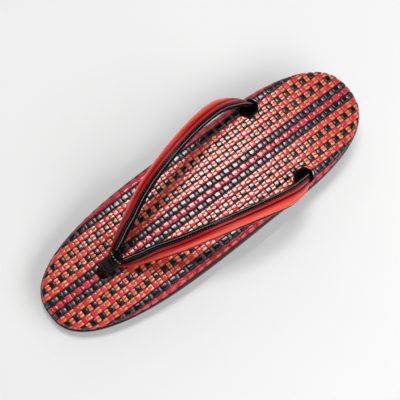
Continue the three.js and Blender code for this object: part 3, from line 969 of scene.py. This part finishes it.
def build_ground():
    """The sheet under the weave, dark as painted shade, with its rolled edge and its holes."""
    half_length = LENGTH / 2 + GROUND_MARGIN
    half_width = BALL_HALF_WIDTH + GROUND_MARGIN
    x = np.linspace(half_length, -half_length, GROUND_ROWS)
    y = np.linspace(-half_width, half_width, GROUND_COLUMNS)
    grid_x, grid_y = np.meshgrid(x, y, indexing="ij")
    points, drop = bed_surface(grid_x, grid_y, np.full(grid_x.shape, -GROUND_SINK))
    faces = grid_faces(np.arange(grid_x.size).reshape(grid_x.shape))
    flat = np.stack([grid_x.ravel(), grid_y.ravel()], axis=1)
    kept = np.min(drop.ravel()[faces], axis=1) < EDGE_DROP
    kept &= ~np.all(hole_distance(points.reshape(-1, 3)[faces], POST_HOLE) < 1.0, axis=1)
    for hole in HOLES:
        kept &= hole_distance(flat[faces].mean(axis=1), hole) > GROUND_CUT
    faces = faces[kept]
    used, faces = np.unique(faces, return_inverse=True)
    faces = faces.reshape(-1, 4)
    points = points.reshape(-1, 3)[used]
    values = {"outside_hole_shade": hole_shade_falloff(points)}
    make_piece("weave_ground", points, faces, ground_material(), "footbed", values=values)


def build_hole_linings():
    """Walls and floors of the two holes for the tails, painted black as shade."""
    material = ground_material()
    angle = np.linspace(0.0, 2 * np.pi, HOLE_SIDES, endpoint=False)
    for number, (middle_x, middle_y, half_length, half_width) in enumerate(HOLES):
        x = middle_x + (half_length + HOLE_LAP) * np.cos(angle)
        y = middle_y + (half_width + HOLE_LAP) * np.sin(angle)
        rings = [np.column_stack([x, y, top_line(x) - drop]) for drop in (HOLE_DEPTH, GROUND_SINK)]
        rings = np.stack(rings)[:, ::-1]
        wall, _ = ring_wall(2, HOLE_SIDES, np.array((0.0, 1.0)), np.linspace(0.0, 1.0, HOLE_SIDES + 1))
        points = np.vstack([rings.reshape(-1, 3), rings[0].mean(axis=0)])
        bottom = fan(np.arange(HOLE_SIDES), 2 * HOLE_SIDES, False)
        faces = [*wall.tolist(), *bottom.tolist()]
        make_piece(f"hole_lining_{number + 1}", points, faces, material, "footbed")


def strap_frame(rows):
    """Middle, directions, half sizes and inner seam of the left arm's sections. Across points inward."""
    table = np.array(STRAP_SECTIONS)
    path = table[:, :3]
    middle = curve_through(path, rows, BY_DISTANCE)
    ahead = np.minimum(rows + TANGENT_STEP, len(table) - 1)
    behind = np.maximum(rows - TANGENT_STEP, 0.0)
    along = unit(curve_through(path, ahead, BY_DISTANCE) - curve_through(path, behind, BY_DISTANCE))
    sizes = curve_through(table[:, 3:], rows, EVENLY)
    lean = np.radians(sizes[:, 2])
    outward = np.stack([np.zeros_like(lean), np.sin(lean), np.cos(lean)], axis=1)
    outward = unit(outward - along * np.sum(outward * along, axis=1, keepdims=True))
    across = np.cross(outward, along)
    return middle, along, across, outward, sizes[:, 0] / 2, sizes[:, 1] / 2, sizes[:, 3]


def section_points(middle, across, outward, side, up):
    """Points of flat sections, given across and outward from each section's middle."""
    return middle[:, None, :] + across[:, None, :] * side[..., None] + outward[:, None, :] * up[..., None]


def strap_points(rows, side, up):
    """Points of the strap's sections, kept on the left of the sandal's middle plane."""
    middle, _, across, outward, _, _, _ = strap_frame(rows)
    points = section_points(middle, across, outward, side, up)
    points[..., 1] = np.maximum(points[..., 1], MIDDLE_GAP)
    return points


def outer_seam(rows):
    """Angle of the cover's outer seam around the oval at each row."""
    first, last = OUTER_SEAM_ROWS
    share = smooth_step((rows - first) / (last - first))
    return lerp(OUTER_SEAM_FRONT, OUTER_SEAM_BACK, share)[:, None]


def build_band():
    """The black lining of both arms, with a seat for the cover."""
    last = len(STRAP_SECTIONS) - 1
    rows = np.linspace(0.0, last, last * ROWS_PER_SECTION + 1)
    middle, _, _, _, half_width, half_thick, seam = strap_frame(rows)
    angle = np.linspace(0.0, 2 * np.pi, BAND_SIDES, endpoint=False)
    degrees = np.degrees(angle)
    past_inner = smooth_step((degrees - seam[:, None] - SEAT_MARGIN) / SEAT_SLOPE)
    before_outer = smooth_step((outer_seam(rows) - SEAT_MARGIN - degrees) / SEAT_SLOPE)
    covered = smooth_step((COVER_LAST_SECTION - rows) / SEAT_END)
    side = half_width[:, None] * np.cos(angle)
    up = half_thick[:, None] * np.sin(angle) - SEAT_DEPTH * past_inner * before_outer * covered[:, None]
    rings = strap_points(rows, side, up)
    around = np.linspace(0.0, 1.0, BAND_SIDES + 1)
    points, faces, uvs = mirrored(*closed_loft(rings[:, ::-1], travelled_along(middle), around))
    lining = twill_material("strap_lining", gloss=0.06, low=0.1, high=0.18, rib_strength=0.08)
    band = make_piece("strap_band_lining", points, faces, lining, "strap_band", uvs)


def cover_fold(rows, place):
    """Depth of the cover's creases at each row and place across it."""
    depth = np.zeros((len(rows), len(place)))
    for first, last, start, end, deep, half in CREASES:
        share = np.clip((rows - first) / (last - first), 0.0, 1.0)
        grown = smooth_step((rows - first + CREASE_LEAD) / CREASE_FADE)
        left = smooth_step((last - rows + CREASE_TRAIL) / CREASE_FADE)
        line = lerp(start, end, share)
        across = np.exp(-(((place[None, :] - line[:, None]) / half) ** 2))
        depth += deep * (grown * left)[:, None] * across
    return depth


def build_cover():
    """The red cover of both arms, with its creases, and painted shade on its creases, edges, underside and
    front.
    """
    rows = np.linspace(0.0, COVER_LAST_SECTION, int(COVER_LAST_SECTION * ROWS_PER_SECTION) + 1)
    middle, _, _, _, half_width, half_thick, seam = strap_frame(rows)
    even = np.linspace(0.0, 1.0, COVER_COLUMNS)
    place = (even + smooth_step(even)) / 2
    lift = np.interp(place, *np.array(COVER_FACE).T)
    fold = cover_fold(rows, place)
    end = smooth_step((COVER_LAST_SECTION - rows) / COVER_END + COVER_END_SHARE)
    angle = np.radians(lerp(seam[:, None], outer_seam(rows), place[None, :]))
    side = half_width[:, None] * np.cos(angle)
    raised = (lift[None, :] - fold) * end[:, None] - COVER_END_SINK * (1.0 - end[:, None])
    oval = half_thick[:, None] * np.sin(angle)
    under_side = side[:, ::-COVER_UNDER_STEP]
    under_up = oval[:, ::-COVER_UNDER_STEP] - COVER_EDGE
    rings = strap_points(rows, np.hstack([side, under_side]), np.hstack([oval + raised, under_up]))
    # Painted light and shade of the red: darker toward the knot, by place across the face, in the creases,
    # and darkest underneath.
    toward_knot = FRONT_SHADE * (1.0 - smooth_step(rows / FRONT_SHADE_ROWS))
    shade = np.interp(place, *np.array(COVER_SHADE_AND_HIGHLIGHT).T)[None, :] + toward_knot[:, None]
    depth = np.hstack([CREASE_SHADE * fold + shade, np.ones_like(under_side)])
    along = travelled_along(middle) / COVER_COORDINATE_LENGTH
    around = np.linspace(0.0, 1.0, rings.shape[1] + 1)
    points, faces, uvs = mirrored(*closed_loft(rings, along, around))
    arm = np.concatenate([depth.ravel(), [0.0, 0.0]])
    values = {"fold": np.concatenate([arm, arm])}
    material = red_cover_material()
    cover = make_piece("strap_red_cover", points, faces, material, "strap_cover", uvs, values)


def stitch_row(places, directions, outs, length, half_width, height):
    """Small thread bumps, each along its own direction and standing on its own spot."""
    along, across = patch_grid(SHORT, SHORT)
    shape = (1.0 - np.abs(along) ** STITCH_FULLNESS) * np.sqrt(1.0 - across**2)
    sideways = np.cross(outs, directions)
    points = (
        places[:, None, None, :]
        + directions[:, None, None, :] * (along * length / 2)[None, ..., None]
        + sideways[:, None, None, :] * (across * half_width)[None, ..., None]
        + outs[:, None, None, :] * (shape * height - STITCH_SINK)[None, ..., None]
    )
    faces = grid_faces(np.arange(along.size).reshape(along.shape))
    faces = faces[None] + np.arange(len(places))[:, None, None] * along.size
    return points.reshape(-1, 3), faces.reshape(-1, 4)


def build_stitches():
    """Rows of thread along the inner side of both arms; their grey is partly a painted glint."""
    rows = np.linspace(STITCH_FIRST_ROW, STITCH_LAST_ROW, STITCH_SAMPLES)
    middle, along, across, outward, half_width, half_thick, _ = strap_frame(rows)
    travelled = travelled_along(middle)
    points = []
    faces = []
    used = 0
    for angle, length, pitch, half, height in STITCH_LINES:
        at = np.interp(np.arange(0.0, travelled[-1], pitch), travelled, np.arange(len(rows))).astype(int)
        turn = math.radians(angle)
        side = across[at] * math.cos(turn)
        up = outward[at] * math.sin(turn)
        width = half_width[at, None]
        thick = half_thick[at, None]
        places = middle[at] + side * width + up * thick
        outs = unit(side / width + up / thick)
        row_points, row_faces = stitch_row(places, along[at], outs, length, half, height)
        points.append(row_points)
        faces.append(row_faces + used)
        used += len(row_points)
    points = np.vstack(points)
    faces = np.vstack(faces)
    uvs = np.zeros((faces.size, 2))
    points, faces, uvs = mirrored(points, faces.tolist(), uvs)
    thread = strip_material("thread", GREY_THREAD_AND_GLINT_TONES, DULL_ROUGHNESS)
    make_piece("strap_stitches", points, faces, thread, "strap_band", uvs)


def build_knuckle_stitches(middle, across, outward, sizes, rows):
    """A short row of pale thread over the top of the knuckle; its pale tone is partly a painted glint."""
    row, half_angle, count, length, half, height = KNUCKLE_STITCHES
    at = int(np.searchsorted(rows, row))
    angle = np.radians(90.0 + np.linspace(-half_angle, half_angle, count))
    half_width, half_thick = sizes[at]
    side = np.cos(angle)[:, None]
    up = np.sin(angle)[:, None]
    places = middle[at] + across[at] * side * half_width + outward[at] * up * half_thick
    outs = unit(across[at] * side / half_width + outward[at] * up / half_thick)
    directions = unit(across[at] * -up * half_width + outward[at] * side * half_thick)
    points, faces = stitch_row(places, directions, outs, length, half, height)
    thread = strip_material("pale_thread_and_glint", PALE_THREAD_AND_GLINT_TONES, DULL_ROUGHNESS)
    uvs = np.zeros((faces.size, 2))
    make_piece("knuckle_stitches", points, faces, thread, "toe_post", uvs)


def build_post():
    """The pleated black post and its knuckle around the straps."""
    table = np.array(POST_SECTIONS)
    last = len(table) - 1
    rows = np.linspace(0.0, last, POST_ROWS)
    path = np.stack([table[:, 0], np.zeros(len(table)), table[:, 1]], axis=1)
    middle = curve_through(path, rows, BY_DISTANCE)
    along = unit(np.gradient(middle, axis=0))
    sizes = curve_through(table[:, 2:], rows, EVENLY)
    across = np.broadcast_to((0.0, -1.0, 0.0), middle.shape)
    outward = np.cross(along, across)
    angle = np.linspace(0.0, 2 * np.pi, POST_SIDES, endpoint=False)
    growth = smooth_step((rows - PLEAT_FIRST_ROW) / PLEAT_GROWTH_ROWS)
    strength = lerp(PLEAT_STEM_SHARE, 1.0, growth)
    sway = PLEAT_SWAY * np.sin(PLEAT_SWAY_RATE * rows)
    wave = np.cos(PLEAT_COUNT * angle[None, :] + sway[:, None])
    relief = -PLEAT_DEPTH * strength[:, None] * (0.5 - 0.5 * wave) ** PLEAT_SHARPNESS
    for row, depth in TUCK_ROWS:
        bend = row + TUCK_BEND * np.cos(angle)
        relief -= depth * np.exp(-(((rows[:, None] - bend[None, :]) / TUCK_HALF_WIDTH) ** 2))
    side = (sizes[:, :1] + relief) * np.cos(angle)
    up = (sizes[:, 1:] + relief) * np.sin(angle)
    rings = section_points(middle, across, outward, side, up)
    around = np.linspace(0.0, 1.0, POST_SIDES + 1)
    points, faces, uvs = closed_loft(rings, travelled_along(middle), around)
    build_knuckle_stitches(middle, across, outward, sizes, rows)
    material = twill_material("post_cover", gloss=0.14, low=0.07, high=0.14, rib_strength=0.05)
    make_piece("toe_post_knot", points, faces, material, "toe_post", uvs)


def build_sole():
    """The rubber outsole with its tread, and the black midsole with its rolled lip."""
    outsole_levels = []
    for inset, share in OUTSOLE_EDGE:
        outsole_levels.append((inset, lambda x, share=share: ground_line(x) + share * OUTSOLE_THICKNESS))
    points, faces, uvs = sole_layer(outsole_levels, TREAD_COLUMNS, tread)
    make_piece("outsole_rubber_sheet", points, faces, rubber_material(), "outsole", uvs)

    def foot(x):
        return ground_line(x) + OUTSOLE_THICKNESS + LAYER_GAP

    def top(x):
        return top_line(x) - FOOTBED_DEPTH - LAYER_GAP

    lip_foot = MIDSOLE_LIP[0][1]
    levels = []
    for inset, share in MIDSOLE_SIDE:
        levels.append((inset, lambda x, share=share: lerp(foot(x), top(x) - lip_foot, share)))
    for inset, drop in MIDSOLE_LIP:
        levels.append((inset, lambda x, drop=drop: top(x) - drop))
    points, faces, uvs = sole_layer(levels, PLAIN_COLUMNS, None)
    make_piece("midsole_body", points, faces, vinyl_material(), "midsole", uvs)


def build_floor():
    size = FLOOR_HALF_SIZE * MM
    mesh = bpy.data.meshes.new("floor")
    corners = [(-size, -size, 0.0), (size, -size, 0.0), (size, size, 0.0), (-size, size, 0.0)]
    mesh.from_pydata(corners, [], [(0, 1, 2, 3)])
    mesh.materials.append(floor_material())
    floor = bpy.data.objects.new("floor", mesh)
    floor.location.z = -FLOOR_DROP * MM
    bpy.context.scene.collection.objects.link(floor)


def add_area_light(name, place, size, turn, energy):
    data = bpy.data.lights.new(name, "AREA")
    data.shape = "RECTANGLE"
    data.size = size[0]
    data.size_y = size[1]
    data.energy = energy
    lamp = bpy.data.objects.new(name, data)
    lamp.location = place
    facing = (-Vector(place)).to_track_quat("-Z", "Y")
    lamp.rotation_euler = (facing @ Quaternion((0.0, 0.0, 1.0), math.radians(turn))).to_euler()
    bpy.context.scene.collection.objects.link(lamp)


def build_light():
    world = bpy.data.worlds.new("studio")
    bpy.context.scene.world = world
    world.use_nodes = True
    tree = world.node_tree
    background = tree.nodes["Background"]
    background.inputs["Strength"].default_value = WORLD_STRENGTH
    place = add_node(tree, "ShaderNodeTexCoord")
    axes = add_node(tree, "ShaderNodeSeparateXYZ")
    ramp = color_ramp(tree, WORLD_STOPS)
    link(tree, place.outputs["Generated"], axes.inputs["Vector"])
    link(tree, axes.outputs["Z"], ramp.inputs["Fac"])
    link(tree, ramp.outputs["Color"], background.inputs["Color"])
    for panel in PANELS:
        add_area_light(*panel)


def build_camera():
    data = bpy.data.cameras.new("camera")
    data.lens = CAMERA_LENS
    data.sensor_width = SENSOR_WIDTH
    data.clip_start = NEAR_CLIP * MM
    camera = bpy.data.objects.new("camera", data)
    place = Vector(CAMERA_PLACE) * MM
    back = (place - Vector(CAMERA_TARGET) * MM).normalized()
    right = Vector(CAMERA_UP).cross(back).normalized()
    up = back.cross(right)
    turn = Matrix((right, up, back)).transposed().to_4x4()
    camera.matrix_world = Matrix.Translation(place) @ turn
    bpy.context.scene.collection.objects.link(camera)
    bpy.context.scene.camera = camera


build_camera()
build_sole()
build_footbed()
build_band()
build_cover()
build_stitches()
build_post()
build_floor()
build_light()
bpy.context.scene.view_settings.view_transform = "Standard"
